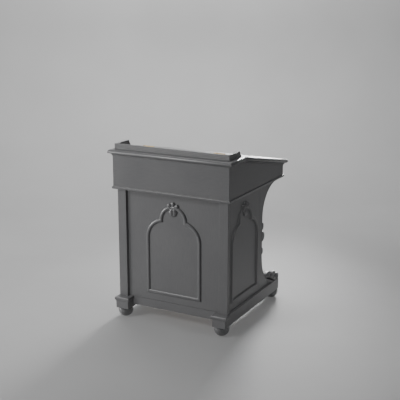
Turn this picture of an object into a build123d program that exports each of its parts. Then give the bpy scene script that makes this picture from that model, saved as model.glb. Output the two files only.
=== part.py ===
from build123d import *
from math import acos, cos, degrees, radians, sin, tan
import os

# Pulpit desk: a sloping-lid writing box on a panelled pedestal with scroll brackets.
# Millimetres. +Z is up, -Y is the panelled face turned to the hall, +Y is the reader's side.
# The origin is on the floor under the middle of the desk.

# ---- driving sizes ----
BOX_W = 600.0            # writing box over its side boards
BOX_D = 598.0            # writing box over its back and front boards
FOOT_H = 45.0            # floor to the underside of the runners
RUNNER_H = 55.0
CARCASS_Z = FOOT_H + RUNNER_H        # pedestal stands on the runners
BOX_Z = 627.0            # underside of the writing box
TOP_Z = 813.0            # upper face of the flat top
TOP_T = 17.0
BOARD_T = 18.0
OVERHANG = 18.0          # flat top and lid past the box sides
LID_SLOPE = 11.77        # degrees below level
LID_T = 18.0
HINGE_Y = -166.0         # joint between flat top and lid
TOP_REAR_Y = -317.0
LID_FRONT_Y = 318.1      # sharp corner, before its edge is rounded
SKIN = 0.3               # running clearance between bodies

# ---- pedestal ----
PANEL_X = 280.0          # outer face of the side panels
PANEL_Y = -263.3         # outer face of the rear panel
PEDESTAL_FRONT_Y = 86.0
POST_Y = 70.0            # inner edge of the front stiles
POST_EASE = 1.2
PILASTER_IN = 243.0
PILASTER_OUT = 287.5
PILASTER_T = 19.1
INNER_X = PANEL_X - BOARD_T
REAR_INNER_Y = PANEL_Y + BOARD_T
KNEE_INNER_Y = PEDESTAL_FRONT_Y - BOARD_T
SHELF_Z = 360.0
FLOOR_T = 14.0
RAIL_Z = 58.0
RAIL_T = 22.0
RAIL_SET_BACK = 1.5
RAIL_GAP = 2.0             # shadow gap over the rail

# ---- runners and feet ----
RUNNER_OUT = 291.2
RUNNER_IN = 224.8
RUNNER_REAR_Y = -311.5
RUNNER_FRONT_Y = 294.3
RUNNER_EASE = 1.5
BALL_R = 33.5
BALL_FLAT = 1.0
BALL_X = 257.7
BALL_Y = 278.0
SPIGOT_R = 11.0
SPIGOT_H = 25.0
CAP_H = 22.0
CAP_PROUD = 5.0
CAP_ROUND = 4.6
CAP_BEVEL = 4.0

# ---- arches ----
ARCH_HALF = 145.0
ARCH_BAND = 19.0
ARCH_STEPS = [(0.0, 0.0, 4.0), (3.0, 4.0, 2.5), (6.0, 6.5, 1.5)]     # inset, base, height
ARCH_SILL_Z = 133.5
SHOULDER_Z = 401.0
SHOULDER_R = 100.2
LOBE_Z = 500.0
LOBE_R = 69.0
SIDE_ARCH_Y = -92.5
SIDE_SILL_Z = 138.0
BOSS_Z = 542.0
BOSS_R = 22.0
LEAF_R = 11.5
LEAF_SPOTS = [(0.0, 580.0), (-20.0, 571.0), (20.0, 571.0)]
GROUND_T = 4.0
BOSS_RISE = 7.0
LEAF_RISE = 5.0
DOME_TAPER = 28.0

# ---- brackets ----
BRACKET_OUT = 280.0
BRACKET_IN = 240.0
WAIST_Y = 110.0
CURVE_TOP_Y = 275.0
CURVE_TOP_Z = 613.0
CURVE_SPRING_Z = 462.0
CURVE_FOOT_Z = 270.0
FOOT_SWEEP_R = 190.0
SCROLL_Y = 150.0
SCROLL_IN = 229.0
SCROLL_OUT = 289.0
SCROLL_HEEL_Z = 152.0
SCROLL_LOBES = [((183.0, 164.0), (220.0, 149.0)), ((243.0, 155.0), (266.0, 132.6)),
                ((295.0, 126.1), (294.3, 100.0))]     # crown and lower end of each lobe, as (y, z)
SLIT_ABOVE = [(252.0, 100.0), (212.0, 124.5), (168.0, 140.0)]
SLIT_BELOW = [(163.0, 132.0), (205.0, 115.5), (238.0, 100.0)]

WAIST_BOSS_Z = 361.0
WAIST_LOBES = [(2.0, 24.0, 31.0), (58.0, 17.0, 17.0), (-66.0, 15.0, 13.0)]     # height, radius, rise
WAIST_TAPER = 25.0

# ---- writing box ----
BOTTOM_T = 14.0
BEAD_H = 16.0
BEAD_PROUD = 5.0
BEAD_ROUND = 4.5
BEAD_EASE = 2.0
COVE_H = 11.0
COVE_PROUD = 10.0
COVE_FOOT = 3.0
COVE_LIP = 2.0
NOSING_TOP = 12.5
NOSING_UNDER = 3.0
LID_NOSING = 8.5
LID_BEAD_H = 11.0
LID_BEAD_PROUD = 5.5
GALLERY_X = 294.0
GALLERY_Y = -289.0
GALLERY_H = 26.0
GALLERY_T = 12.0
GALLERY_END_Y = -169.0
GALLERY_RAKE = 14.0
GALLERY_ROUND = 3.0
GALLERY_GROOVES = (5.0, 18.0)
GROOVE = 1.5

# ---- small fittings under the flat top ----
NEST_FRONT_Y = -174.0
NEST_SHELF_Z = 700.0
NEST_SHELF_T = 8.0
DIVIDER_T = 8.0
DIVIDER_SETBACK = 6.0
SHELF_SETBACK = 5.0
DRAWER_WALL = 6.0
DRAWER_FRONT = 8.0
DRAWER_BASE = 4.0
DRAWER_GAP = 0.6

# ---- hinges ----
LEAF_T = 2.0
LEAF_REACH = 15.0
PIN_R = 1.2
PIN_FIT = 0.06
PIN_HEAD = 1.0
LID_KNUCKLE_R = 3.0
LID_HINGE_X = (-185.0, 185.0)
LID_HINGE_L = 56.0
NOTCH_SPARE = 2.0
DOOR_KNUCKLE_R = 2.5
DOOR_HINGE_Z = (190.0, 535.0)
DOOR_HINGE_L = 60.0
EDGE_GAP = 1.0           # between a hinged board and the board it is hung on
KNUCKLES = 5

# ---- cupboard door and small brass ----
DOOR_Z = (103.0, 624.0)
DOOR_X = (-PANEL_X, -INNER_X - SKIN)
KNOB_Y = 61.5
KNOB_Z = 364.0
KNOB_L = 18.0
DOOR_KNOB_R = 8.0
DRAWER_KNOB_R = 7.0
DRAWER_KNOB_Z = 670.0
LOCK_Z = 668.0
LOCK_TOP_Z = 698.0
LOCK_CASE = (64.0, 11.0, 50.0)
ESCUTCHEON = (11.0, 15.0, 1.2)
KEYHOLE_R = 2.4

os.makedirs("parts", exist_ok=True)


def save(piece, name):
    piece.part.label = name
    export_step(piece.part, f"parts/{name}.step")


def slab(x, y, z, mode=Mode.ADD):
    """A square board or pocket between two limits on each axis, in the open part."""
    with Locations(((x[0] + x[1]) / 2, (y[0] + y[1]) / 2, (z[0] + z[1]) / 2)):
        Box(x[1] - x[0], y[1] - y[0], z[1] - z[0], mode=mode)


def pocket(x, y, z):
    slab(x, y, z, Mode.SUBTRACT)


def mirrored(low, high, side):
    """Limits on X for the right hand side (1) or the left hand side (-1)."""
    return (low, high) if side > 0 else (-high, -low)


SIDES = {"left": 1, "right": -1}      # as the reader sits, facing the hall


# ---------------------------------------------------------------- feet and runners
def ball_foot(name, x, y):
    with BuildPart() as foot:
        with Locations((x, y, BALL_R - BALL_FLAT)):
            Sphere(BALL_R)
        split(bisect_by=Plane.XY, keep=Keep.TOP)
        split(bisect_by=Plane.XY.offset(FOOT_H), keep=Keep.BOTTOM)
        with Locations((x, y, FOOT_H + SPIGOT_H / 2)):
            Cylinder(SPIGOT_R, SPIGOT_H)
    save(foot, name)


def runner(name, side):
    x = mirrored(RUNNER_IN, RUNNER_OUT, side)
    with BuildPart() as rail:
        slab(x, (RUNNER_REAR_Y, RUNNER_FRONT_Y), (FOOT_H, CARCASS_Z))
        chamfer(rail.edges().filter_by(Axis.Y).group_by(Axis.Z)[0], RUNNER_EASE)
        with Locations((side * BALL_X, -BALL_Y, FOOT_H), (side * BALL_X, BALL_Y, FOOT_H)):
            Cylinder(SPIGOT_R, 2 * SPIGOT_H, mode=Mode.SUBTRACT)
    save(rail, name)


def runner_cap(name, side):
    """A nosing planted round the rear end of a runner."""
    x = mirrored(RUNNER_IN, RUNNER_OUT, side)
    z = (CARCASS_Z - CAP_H, CARCASS_Z)
    with BuildPart() as cap:
        slab((x[0] - CAP_PROUD, x[1] + CAP_PROUD), (RUNNER_REAR_Y - CAP_PROUD, PANEL_Y - SKIN), z)
        outline = [e for e in cap.edges().filter_by(Axis.Z, reverse=True) if e.center().Y < PANEL_Y - 1]
        fillet([e for e in outline if e.center().Z > CARCASS_Z - 1], CAP_ROUND)
        chamfer([e for e in cap.edges().group_by(Axis.Z)[0] if e.center().Y < PANEL_Y - 1], CAP_BEVEL)
        pocket(x, (RUNNER_REAR_Y, PANEL_Y), z)
    save(cap, name)


# ---------------------------------------------------------------- arches and carving
REAR_FACE = Plane(origin=(0, PANEL_Y, 0), x_dir=(1, 0, 0), z_dir=(0, -1, 0))
LEFT_FACE = Plane(origin=(PANEL_X, SIDE_ARCH_Y, 0), x_dir=(0, 1, 0), z_dir=(1, 0, 0))
RIGHT_FACE = Plane(origin=(-PANEL_X, SIDE_ARCH_Y, 0), x_dir=(0, -1, 0), z_dir=(-1, 0, 0))


def arch_outline(sill, inset, mode):
    """The cusped arch: straight sides, round shoulders and one lobe, moved in by inset."""
    half = ARCH_HALF - inset
    low = sill + inset
    with Locations((0, (low + SHOULDER_Z) / 2)):
        Rectangle(2 * half, SHOULDER_Z - low, mode=mode)
    with Locations((0, SHOULDER_Z)):
        SlotCenterToCenter(2 * (ARCH_HALF - SHOULDER_R), 2 * (SHOULDER_R - inset), mode=mode)
    with Locations((0, LOBE_Z)):
        Circle(LOBE_R - inset, mode=mode)


def carving_outline(grow, mode):
    """The footprint of the boss and its three leaves."""
    with Locations((0, BOSS_Z)):
        Circle(BOSS_R + grow, mode=mode)
    with Locations(*LEAF_SPOTS):
        Circle(LEAF_R + grow, mode=mode)


def arch_moulding(name, face, sill):
    """A raised moulding in three steps, stopped against the carving."""
    with BuildPart() as arch:
        for inset, base, height in ARCH_STEPS:
            with BuildSketch(face.offset(base)):
                arch_outline(sill, inset, Mode.ADD)
                arch_outline(sill, ARCH_BAND - inset, Mode.SUBTRACT)
                carving_outline(SKIN, Mode.SUBTRACT)
            extrude(amount=height)
    save(arch, name)


def carving(name, face):
    """The boss and three leaves, each a low dome on a thin ground."""
    with BuildPart() as carved:
        with BuildSketch(face):
            carving_outline(0, Mode.ADD)
        extrude(amount=GROUND_T)
        with BuildSketch(face.offset(GROUND_T)):
            with Locations((0, BOSS_Z)):
                Circle(BOSS_R - 2)
        extrude(amount=BOSS_RISE, taper=DOME_TAPER)
        with BuildSketch(face.offset(GROUND_T)):
            with Locations(*LEAF_SPOTS):
                Circle(LEAF_R - 1)
        extrude(amount=LEAF_RISE, taper=DOME_TAPER)
    save(carved, name)


# ---------------------------------------------------------------- hinges
def knuckle_spans(length, first):
    """Every second knuckle of a hinge, as limits along the pin."""
    step = length / KNUCKLES
    return [(-length / 2 + i * step, -length / 2 + (i + 1) * step) for i in range(first, KNUCKLES, 2)]


def hinge_leaves(name, planes, length, radius, first, hand):
    """Leaves whose knuckles turn on a pin along each plane's normal and reach along its x axis."""
    near, far = sorted((hand * EDGE_GAP / 2, hand * (EDGE_GAP / 2 + LEAF_T)))
    with BuildPart() as leaves:
        for plane in planes:
            with BuildSketch(plane.offset(-length / 2)):
                Circle(radius)
                with Locations((LEAF_REACH / 2, (near + far) / 2)):
                    Rectangle(LEAF_REACH, LEAF_T)
            extrude(amount=length)
            for low, high in knuckle_spans(length, 1 - first):
                with BuildSketch(plane.offset(low - SKIN)):
                    Rectangle(2 * radius + 2 * SKIN, 2 * radius + 2 * SKIN)
                extrude(amount=high - low + 2 * SKIN, mode=Mode.SUBTRACT)
            with BuildSketch(plane.offset(-length / 2)):
                Circle(PIN_R + PIN_FIT)
            extrude(amount=length, mode=Mode.SUBTRACT)
    save(leaves, name)


def hinge_pins(name, planes, length):
    """Pins with a small head at each end."""
    with BuildPart() as pins:
        for plane in planes:
            with BuildSketch(plane.offset(-length / 2 - SKIN)):
                Circle(PIN_R)
            extrude(amount=length + 2 * SKIN)
            for end in (-length / 2 - SKIN - PIN_HEAD, length / 2 + SKIN):
                with BuildSketch(plane.offset(end)):
                    Circle(PIN_R + PIN_HEAD)
                extrude(amount=PIN_HEAD)
    save(pins, name)


LID_AXIS_Y = HINGE_Y + EDGE_GAP / 2
LID_AXIS_Z = TOP_Z + 1.0
NOTCH_FLOOR_Z = LID_AXIS_Z - LEAF_REACH - SKIN
KNUCKLE_FLOOR_Z = LID_AXIS_Z - LID_KNUCKLE_R - SKIN
LID_HINGES = [
    Plane(origin=(x, LID_AXIS_Y, LID_AXIS_Z), x_dir=(0, 0, -1), z_dir=(1, 0, 0)) for x in LID_HINGE_X
]
DOOR_AXIS_X = -PANEL_X - DOOR_KNUCKLE_R - 2 * SKIN
DOOR_AXIS_Y = REAR_INNER_Y + EDGE_GAP / 2
DOOR_HINGES = [
    Plane(origin=(DOOR_AXIS_X, DOOR_AXIS_Y, z), x_dir=(1, 0, 0), z_dir=(0, 0, 1)) for z in DOOR_HINGE_Z
]
DOOR_EDGE_Y = REAR_INNER_Y + EDGE_GAP


# ---------------------------------------------------------------- pedestal
def plain_board(name, x, y, z):
    with BuildPart() as board:
        slab(x, y, z)
    save(board, name)


def rear_pilaster(name, side):
    x = mirrored(PILASTER_IN, PILASTER_OUT, side)
    with BuildPart() as post:
        slab(x, (PANEL_Y - PILASTER_T, PANEL_Y), (CARCASS_Z, BOX_Z))
        fillet(post.edges().filter_by(Axis.Z).group_by(Axis.Y)[0], POST_EASE)
    save(post, name)


def rear_panel():
    """The rear panel, let in for the fixed leaves of the door hinges."""
    half = DOOR_HINGE_L / 2 + SKIN
    leaf_end = DOOR_AXIS_X + LEAF_REACH
    with BuildPart() as panel:
        slab((-PANEL_X, PANEL_X), (PANEL_Y, REAR_INNER_Y), (CARCASS_Z, BOX_Z))
        for z in DOOR_HINGE_Z:
            pocket((-PANEL_X - 1, leaf_end), (REAR_INNER_Y - LEAF_T, REAR_INNER_Y + 1), (z - half, z + half))
    save(panel, "rear_panel")


def bracket(name, side):
    """A scroll bracket: hollow towards the reader, swept up under the box and down to its foot."""
    rise = CURVE_TOP_Z - CURVE_SPRING_Z
    reach = CURVE_TOP_Y - WAIST_Y
    sweep_down = degrees(acos(1 - (SCROLL_Y - WAIST_Y) / FOOT_SWEEP_R))
    with BuildPart() as truss:
        with BuildSketch(Plane.YZ.offset(BRACKET_IN if side > 0 else -BRACKET_OUT)):
            with BuildLine():
                EllipticalCenterArc((CURVE_TOP_Y, CURVE_SPRING_Z), reach, rise, 90, arc_size=90)
                Line((WAIST_Y, CURVE_SPRING_Z), (WAIST_Y, CURVE_FOOT_Z))
                foot = CenterArc((WAIST_Y + FOOT_SWEEP_R, CURVE_FOOT_Z), FOOT_SWEEP_R, 180, sweep_down)
                toe = foot @ 1
                Polyline(toe, (SCROLL_Y, toe.Y), (SCROLL_Y, CARCASS_Z), (PEDESTAL_FRONT_Y, CARCASS_Z),
                         (PEDESTAL_FRONT_Y, BOX_Z), (CURVE_TOP_Y, BOX_Z), (CURVE_TOP_Y, CURVE_TOP_Z))
            make_face()
        extrude(amount=BRACKET_OUT - BRACKET_IN)
    save(truss, name)


def bracket_carving(name, side):
    """A boss between two leaves on the waist of the bracket."""
    middle = (BRACKET_IN + BRACKET_OUT) / 2
    face = Plane(origin=(side * middle, WAIST_Y, WAIST_BOSS_Z), x_dir=(-1, 0, 0), z_dir=(0, 1, 0))
    with BuildPart() as carved:
        for z, radius, rise in WAIST_LOBES:
            with BuildSketch(face):
                with Locations((0, z)):
                    Circle(radius)
            extrude(amount=rise, taper=WAIST_TAPER)
    save(carved, name)


def scroll_foot(name, side):
    """A carved scroll of three lobes on the front end of the runner, slit under its neck."""
    with BuildPart() as scroll:
        with BuildSketch(Plane.YZ.offset(SCROLL_IN if side > 0 else -SCROLL_OUT)):
            with BuildLine():
                Polyline(SLIT_BELOW[-1], (SCROLL_Y, CARCASS_Z), (SCROLL_Y, SCROLL_HEEL_Z))
                start = (SCROLL_Y, SCROLL_HEEL_Z)
                for crown, end in SCROLL_LOBES:
                    ThreePointArc(start, crown, end)
                    start = end
                Line(start, SLIT_ABOVE[0])
                ThreePointArc(*SLIT_ABOVE)
                Line(SLIT_ABOVE[-1], SLIT_BELOW[0])
                ThreePointArc(*SLIT_BELOW)
            make_face()
        extrude(amount=SCROLL_OUT - SCROLL_IN)
    save(scroll, name)


# ---------------------------------------------------------------- cupboard door
def door_panel():
    """The door, let in at its rear edge for the moving leaves of its hinges."""
    half = DOOR_HINGE_L / 2 + SKIN
    leaf_end = DOOR_AXIS_X + LEAF_REACH
    with BuildPart() as door:
        slab(DOOR_X, (DOOR_EDGE_Y, POST_Y - EDGE_GAP), DOOR_Z)
        for z in DOOR_HINGE_Z:
            pocket((-PANEL_X - 1, leaf_end), (DOOR_EDGE_Y - 1, DOOR_EDGE_Y + LEAF_T), (z - half, z + half))
    save(door, "door_panel")


def knob(name, face, radius):
    """A turned knob on a short neck, standing out along the face's normal."""
    rim, neck = 0.75 * radius, 0.42 * radius
    with BuildPart() as turned:
        with BuildSketch(Plane(origin=face.origin, x_dir=face.x_dir, z_dir=-face.y_dir)):
            with BuildLine():
                Polyline((0, 0), (rim, 0), (neck, KNOB_L / 6), (neck, KNOB_L / 3))
                Spline((neck, KNOB_L / 3), (radius, 0.6 * KNOB_L), (rim, 0.9 * KNOB_L), (0, KNOB_L))
                Line((0, KNOB_L), (0, 0))
            make_face()
        revolve(axis=Axis(face.origin, face.z_dir))
    save(turned, name)


# ---------------------------------------------------------------- writing box
SLOPE = tan(radians(LID_SLOPE))
LID_DROP = LID_T / cos(radians(LID_SLOPE))


def lid_top_z(y):
    return TOP_Z - SLOPE * (y - HINGE_Y)


def wall_top_z(y):
    """Upper edge of the box walls where they lie under the lid."""
    return lid_top_z(y) - LID_DROP - SKIN


def side_outline(points, x):
    """A board cut to an outline of (y, z) points, between two limits on X."""
    with BuildPart() as board:
        with BuildSketch(Plane.YZ.offset(x[0])):
            with BuildLine():
                Polyline(*points, close=True)
            make_face()
        extrude(amount=x[1] - x[0])
    return board


def box_side(name, side):
    front = BOX_D / 2 - BOARD_T
    under_top = TOP_Z - TOP_T
    outline = [(-front, BOX_Z), (front, BOX_Z), (front, wall_top_z(front)), (HINGE_Y, wall_top_z(HINGE_Y)),
               (HINGE_Y, under_top), (-front, under_top)]
    save(side_outline(outline, mirrored(BOX_W / 2 - BOARD_T, BOX_W / 2, side)), name)


def box_front():
    inner, outer = BOX_D / 2 - BOARD_T, BOX_D / 2
    outline = [(inner, BOX_Z), (outer, BOX_Z), (outer, wall_top_z(outer)), (inner, wall_top_z(inner))]
    save(side_outline(outline, (-BOX_W / 2, BOX_W / 2)), "box_front")


def base_bead():
    """The bead planted round the foot of the writing box."""
    x, y, z = BOX_W / 2, BOX_D / 2, (BOX_Z, BOX_Z + BEAD_H)
    with BuildPart() as bead:
        slab((-x - BEAD_PROUD, x + BEAD_PROUD), (-y - BEAD_PROUD, y + BEAD_PROUD), z)
        fillet(bead.edges().group_by(Axis.Z)[-1], BEAD_ROUND)
        fillet(bead.edges().group_by(Axis.Z)[0], BEAD_EASE)
        pocket((-x, x), (-y, y), z)
    save(bead, "box_base_bead")


def cornice_cove():
    """The hollow moulding under the flat top, round three sides of the box."""
    x, y, top = BOX_W / 2, BOX_D / 2, TOP_Z - TOP_T
    with BuildPart() as cove:
        with BuildLine():
            run = Polyline((-x, HINGE_Y, top), (-x, -y, top), (x, -y, top), (x, HINGE_Y, top))
        with BuildSketch(Plane(origin=run @ 0, x_dir=(-1, 0, 0), z_dir=run % 0)):
            with BuildLine():
                Polyline((COVE_FOOT, COVE_H), (0, COVE_H), (0, 0), (COVE_PROUD, 0), (COVE_PROUD, COVE_LIP))
                RadiusArc((COVE_PROUD, COVE_LIP), (COVE_FOOT, COVE_H), COVE_H)
            make_face()
        sweep(transition=Transition.RIGHT)
    save(cove, "cornice_cove")


def lid_bead():
    """The bead that carries the cornice line down under the lid, along both sides and the front."""
    x, y = BOX_W / 2, BOX_D / 2
    ahead = y + LID_BEAD_PROUD
    drop = LID_BEAD_H / cos(radians(LID_SLOPE))
    outline = [(HINGE_Y, wall_top_z(HINGE_Y)), (ahead, wall_top_z(ahead)),
               (ahead, wall_top_z(ahead) - drop), (HINGE_Y, wall_top_z(HINGE_Y) - drop)]
    with BuildPart() as bead:
        with BuildSketch(Plane.YZ.offset(-x - LID_BEAD_PROUD)):
            with BuildLine():
                Polyline(*outline, close=True)
            make_face()
        extrude(amount=2 * (x + LID_BEAD_PROUD))
        pocket((-x, x), (HINGE_Y - 1, y), (BOX_Z, TOP_Z))
    save(bead, "lid_bead")


def flat_top():
    """The fixed top with its moulded edge, notched for the lid hinges."""
    x = BOX_W / 2 + OVERHANG
    half = LID_HINGE_L / 2 + NOTCH_SPARE
    with BuildPart() as top:
        slab((-x, x), (TOP_REAR_Y, HINGE_Y), (TOP_Z - TOP_T, TOP_Z))
        nosing = [e for e in top.edges().filter_by(Axis.Z, reverse=True) if e.center().Y < HINGE_Y - 1]
        fillet([e for e in nosing if e.center().Z > TOP_Z - 1], NOSING_TOP)
        nosing = [e for e in top.edges().group_by(Axis.Z)[0] if e.center().Y < HINGE_Y - 1]
        fillet(nosing, NOSING_UNDER)
        for mid in LID_HINGE_X:
            notch = (mid - half, mid + half)
            pocket(notch, (HINGE_Y - LEAF_T, HINGE_Y + 1), (NOTCH_FLOOR_Z, TOP_Z + 1))
            pocket(notch, (LID_AXIS_Y - LID_KNUCKLE_R - SKIN, HINGE_Y + 1), (KNUCKLE_FLOOR_Z, TOP_Z + 1))
    save(top, "flat_top")


def lid_panel():
    """The sloping lid with a rounded edge, notched for its hinges."""
    x = BOX_W / 2 + OVERHANG
    rear = HINGE_Y + EDGE_GAP
    lean = (LID_T * sin(radians(LID_SLOPE)), LID_T * cos(radians(LID_SLOPE)))
    half = LID_HINGE_L / 2 + NOTCH_SPARE
    front_top = (LID_FRONT_Y, lid_top_z(LID_FRONT_Y))
    outline = [(rear, lid_top_z(rear)), front_top, (front_top[0] - lean[0], front_top[1] - lean[1]),
               (rear, lid_top_z(rear) - LID_DROP)]
    with BuildPart() as lid:
        with BuildSketch(Plane.YZ.offset(-x)):
            with BuildLine():
                Polyline(*outline, close=True)
            make_face()
        extrude(amount=2 * x)
        rims = [e for e in lid.edges() if e.center().Y > rear + 1 and e.length > LID_T + 1]
        fillet(rims, LID_NOSING)
        for mid in LID_HINGE_X:
            notch = (mid - half, mid + half)
            pocket(notch, (rear - 1, rear + LEAF_T), (NOTCH_FLOOR_Z, TOP_Z + 1))
            pocket(notch, (rear - 1, LID_AXIS_Y + LID_KNUCKLE_R + SKIN), (KNUCKLE_FLOOR_Z, TOP_Z + 1))
    save(lid, "lid_panel")


def gallery_back():
    """The low back of the gallery, grooved along its outer face."""
    with BuildPart() as back:
        slab((-GALLERY_X, GALLERY_X), (GALLERY_Y, GALLERY_Y + GALLERY_T), (TOP_Z, TOP_Z + GALLERY_H))
        fillet(back.edges().filter_by(Axis.X).group_by(Axis.Z)[-1], GALLERY_ROUND)
        for z in GALLERY_GROOVES:
            pocket((-GALLERY_X, GALLERY_X), (GALLERY_Y, GALLERY_Y + GROOVE), (TOP_Z + z, TOP_Z + z + GROOVE))
    save(back, "gallery_back")


def gallery_return(name, side):
    """A short return of the gallery with a raked front end."""
    rear = GALLERY_Y + GALLERY_T
    outline = [(rear, TOP_Z), (GALLERY_END_Y, TOP_Z), (GALLERY_END_Y - GALLERY_RAKE, TOP_Z + GALLERY_H),
               (rear, TOP_Z + GALLERY_H)]
    save(side_outline(outline, mirrored(GALLERY_X - GALLERY_T, GALLERY_X, side)), name)


def lid_lock():
    """The lock case on the inner face of the front board and the escutcheon on the outer one."""
    inner, outer = BOX_D / 2 - BOARD_T, BOX_D / 2
    with BuildPart() as lock:
        slab((-LOCK_CASE[0] / 2, LOCK_CASE[0] / 2), (inner - LOCK_CASE[1], inner),
             (LOCK_TOP_Z - LOCK_CASE[2], LOCK_TOP_Z))
        with BuildSketch(Plane(origin=(0, outer, LOCK_Z), x_dir=(-1, 0, 0), z_dir=(0, 1, 0))):
            Ellipse(ESCUTCHEON[0], ESCUTCHEON[1])
            Circle(KEYHOLE_R, mode=Mode.SUBTRACT)
            with Locations((0, -2 * KEYHOLE_R)):
                Rectangle(KEYHOLE_R, 4 * KEYHOLE_R, mode=Mode.SUBTRACT)
        extrude(amount=ESCUTCHEON[2])
    save(lock, "lid_lock")


# ---------------------------------------------------------------- nest of drawers in the well
WELL_X = BOX_W / 2 - BOARD_T
WELL_REAR_Y = BOARD_T - BOX_D / 2
WELL_Z = BOX_Z + BOTTOM_T


def nest_dividers():
    """One upright between the drawers and two between the pigeonholes."""
    with BuildPart() as uprights:
        slab((-DIVIDER_T / 2, DIVIDER_T / 2), (WELL_REAR_Y, NEST_FRONT_Y), (WELL_Z, NEST_SHELF_Z))
        for middle in (-WELL_X / 3, WELL_X / 3):
            slab((middle - DIVIDER_T / 2, middle + DIVIDER_T / 2),
                 (WELL_REAR_Y, NEST_FRONT_Y - DIVIDER_SETBACK), (NEST_SHELF_Z + NEST_SHELF_T, TOP_Z - TOP_T))
    save(uprights, "nest_dividers")


def well_drawer(name, side):
    """A small drawer: front, sides, back and bottom as one open tray."""
    x = mirrored(DIVIDER_T / 2 + DRAWER_GAP, WELL_X - DRAWER_GAP, side)
    y = (WELL_REAR_Y + DRAWER_GAP, NEST_FRONT_Y)
    z = (WELL_Z + SKIN, NEST_SHELF_Z - DRAWER_GAP)
    with BuildPart() as drawer:
        slab(x, y, z)
        pocket((x[0] + DRAWER_WALL, x[1] - DRAWER_WALL), (y[0] + DRAWER_WALL, y[1] - DRAWER_FRONT),
               (z[0] + DRAWER_BASE, z[1]))
    save(drawer, name)


# ---------------------------------------------------------------- the whole desk
PEDESTAL_Z = (CARCASS_Z, BOX_Z)
CUPBOARD_Y = (REAR_INNER_Y, KNEE_INNER_Y)

for spot, y in (("rear", -BALL_Y), ("front", BALL_Y)):
    for hand, side in SIDES.items():
        ball_foot(f"ball_foot_{spot}_{hand}", side * BALL_X, y)
for hand, side in SIDES.items():
    runner(f"runner_{hand}", side)
    runner_cap(f"runner_cap_{hand}", side)
    rear_pilaster(f"rear_pilaster_{hand}", side)
    bracket(f"bracket_{hand}", side)
    bracket_carving(f"bracket_carving_{hand}", side)
    scroll_foot(f"scroll_foot_{hand}", side)
    box_side(f"box_side_{hand}", side)
    gallery_return(f"gallery_return_{hand}", side)
    well_drawer(f"well_drawer_{hand}", side)
    knob_spot = (side * WELL_X / 2, NEST_FRONT_Y, DRAWER_KNOB_Z)
    knob(f"well_drawer_knob_{hand}", Plane(knob_spot, x_dir=(-1, 0, 0), z_dir=(0, 1, 0)), DRAWER_KNOB_R)
    stile_x = mirrored(INNER_X, PANEL_X, side)
    plain_board(f"front_stile_{hand}", stile_x, (POST_Y, PEDESTAL_FRONT_Y), PEDESTAL_Z)

ARCHED_FACES = [
    ("rear", REAR_FACE, ARCH_SILL_Z),
    ("side", LEFT_FACE, SIDE_SILL_Z),
    ("door", RIGHT_FACE, SIDE_SILL_Z),
]
for place, face, sill in ARCHED_FACES:
    arch_moulding(f"{place}_arch_moulding", face, sill)
    carving(f"{place}_arch_carving", face)
rear_panel()
plain_board("side_panel", (INNER_X, PANEL_X), (REAR_INNER_Y, POST_Y), PEDESTAL_Z)
plain_board("knee_panel", (-INNER_X, INNER_X), (KNEE_INNER_Y, PEDESTAL_FRONT_Y), PEDESTAL_Z)
RAIL_Y = PANEL_Y + RAIL_SET_BACK
RAIL_TOP = CARCASS_Z - RAIL_GAP
plain_board("rear_bottom_rail", (-RUNNER_IN, RUNNER_IN), (RAIL_Y, RAIL_Y + RAIL_T), (RAIL_Z, RAIL_TOP))
plain_board("cupboard_floor", (-INNER_X, INNER_X), CUPBOARD_Y, (CARCASS_Z, CARCASS_Z + FLOOR_T))
plain_board("cupboard_shelf", (SHELF_SETBACK - INNER_X, INNER_X), CUPBOARD_Y, (SHELF_Z, SHELF_Z + FLOOR_T))

door_panel()
knob("door_knob", Plane((-PANEL_X, KNOB_Y, KNOB_Z), x_dir=(0, -1, 0), z_dir=(-1, 0, 0)), DOOR_KNOB_R)
hinge_leaves("door_hinge_fixed_leaves", DOOR_HINGES, DOOR_HINGE_L, DOOR_KNUCKLE_R, 1, -1)
hinge_leaves("door_hinge_moving_leaves", DOOR_HINGES, DOOR_HINGE_L, DOOR_KNUCKLE_R, 0, 1)
hinge_pins("door_hinge_pins", DOOR_HINGES, DOOR_HINGE_L)

plain_board("box_back", (-BOX_W / 2, BOX_W / 2), (-BOX_D / 2, WELL_REAR_Y), (BOX_Z, TOP_Z - TOP_T))
plain_board("box_bottom", (-WELL_X, WELL_X), (WELL_REAR_Y, -WELL_REAR_Y), (BOX_Z, WELL_Z))
box_front()
base_bead()
cornice_cove()
lid_bead()
flat_top()
gallery_back()
lid_lock()

lid_panel()
hinge_leaves("lid_hinge_fixed_leaves", LID_HINGES, LID_HINGE_L, LID_KNUCKLE_R, 1, -1)
hinge_leaves("lid_hinge_moving_leaves", LID_HINGES, LID_HINGE_L, LID_KNUCKLE_R, 0, 1)
hinge_pins("lid_hinge_pins", LID_HINGES, LID_HINGE_L)

nest_shelf_z = (NEST_SHELF_Z, NEST_SHELF_Z + NEST_SHELF_T)
plain_board("nest_shelf", (-WELL_X, WELL_X), (WELL_REAR_Y, NEST_FRONT_Y), nest_shelf_z)
nest_dividers()
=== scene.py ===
"""Pulpit desk: looks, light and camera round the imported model. Metres, +Z up, -Y the hall side."""
import math

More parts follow.
